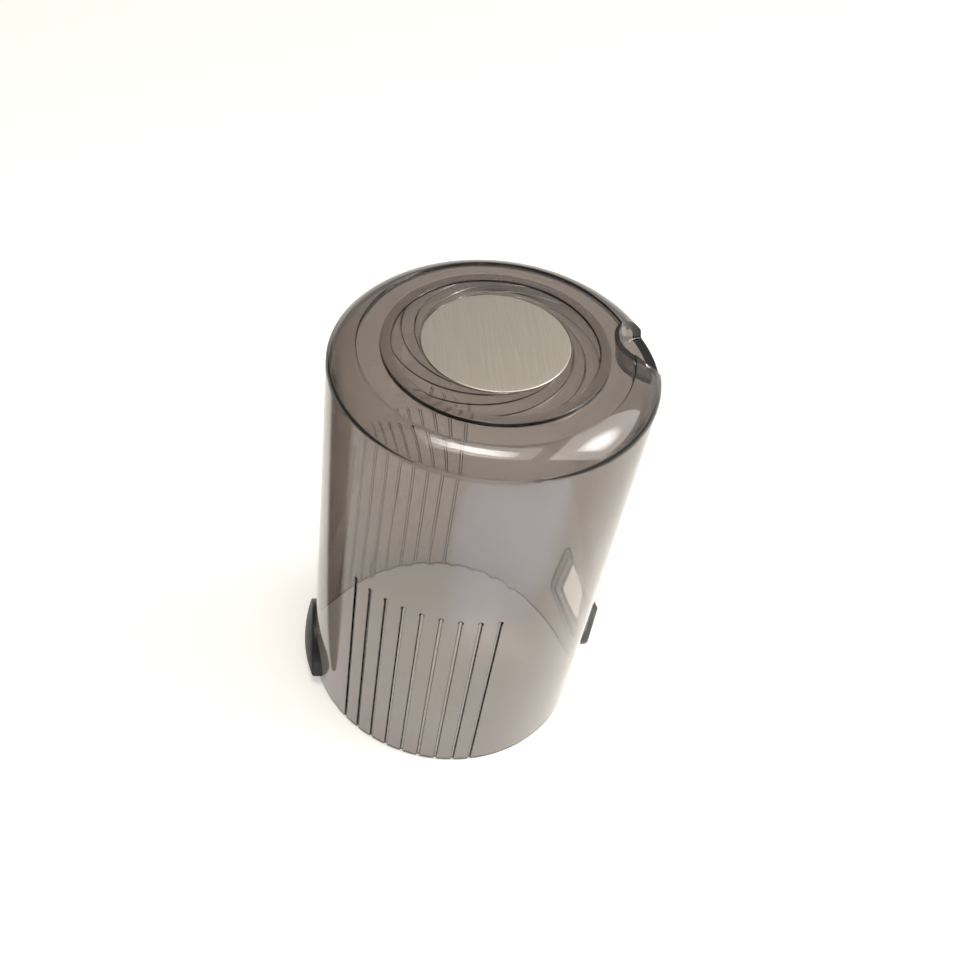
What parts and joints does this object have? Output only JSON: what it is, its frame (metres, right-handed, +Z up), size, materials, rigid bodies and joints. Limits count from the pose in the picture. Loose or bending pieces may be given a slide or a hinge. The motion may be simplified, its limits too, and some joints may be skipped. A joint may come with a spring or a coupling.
{
  "type": "cyclone dust bin",
  "caption": "Clear smoke-grey dust cup of a handstick vacuum: drafted wall with grip grooves, side inlet port, closed end with swirl boss, metal badge and finger scoop.",
  "frame": {"origin": "middle of the open rim, in the plane the bin stands on", "axes": "+Z up along the bin's axis to the closed end, +X midway between the two groups of grip grooves on the finger scoop's side, -X towards the catch pad"},
  "size_m": [0.1059, 0.098, 0.1522],
  "materials": {
    "clear_smoke": "polished clear moulding, smoke grey",
    "brushed_badge": "straight brushed, clear lacquer",
    "black_pad": "satin moulded"
  },
  "bodies": {
    "root": {"dust_cup": "clear_smoke", "end_badge": "brushed_badge", "catch_pad": "black_pad"}
  },
  "joints": []
}
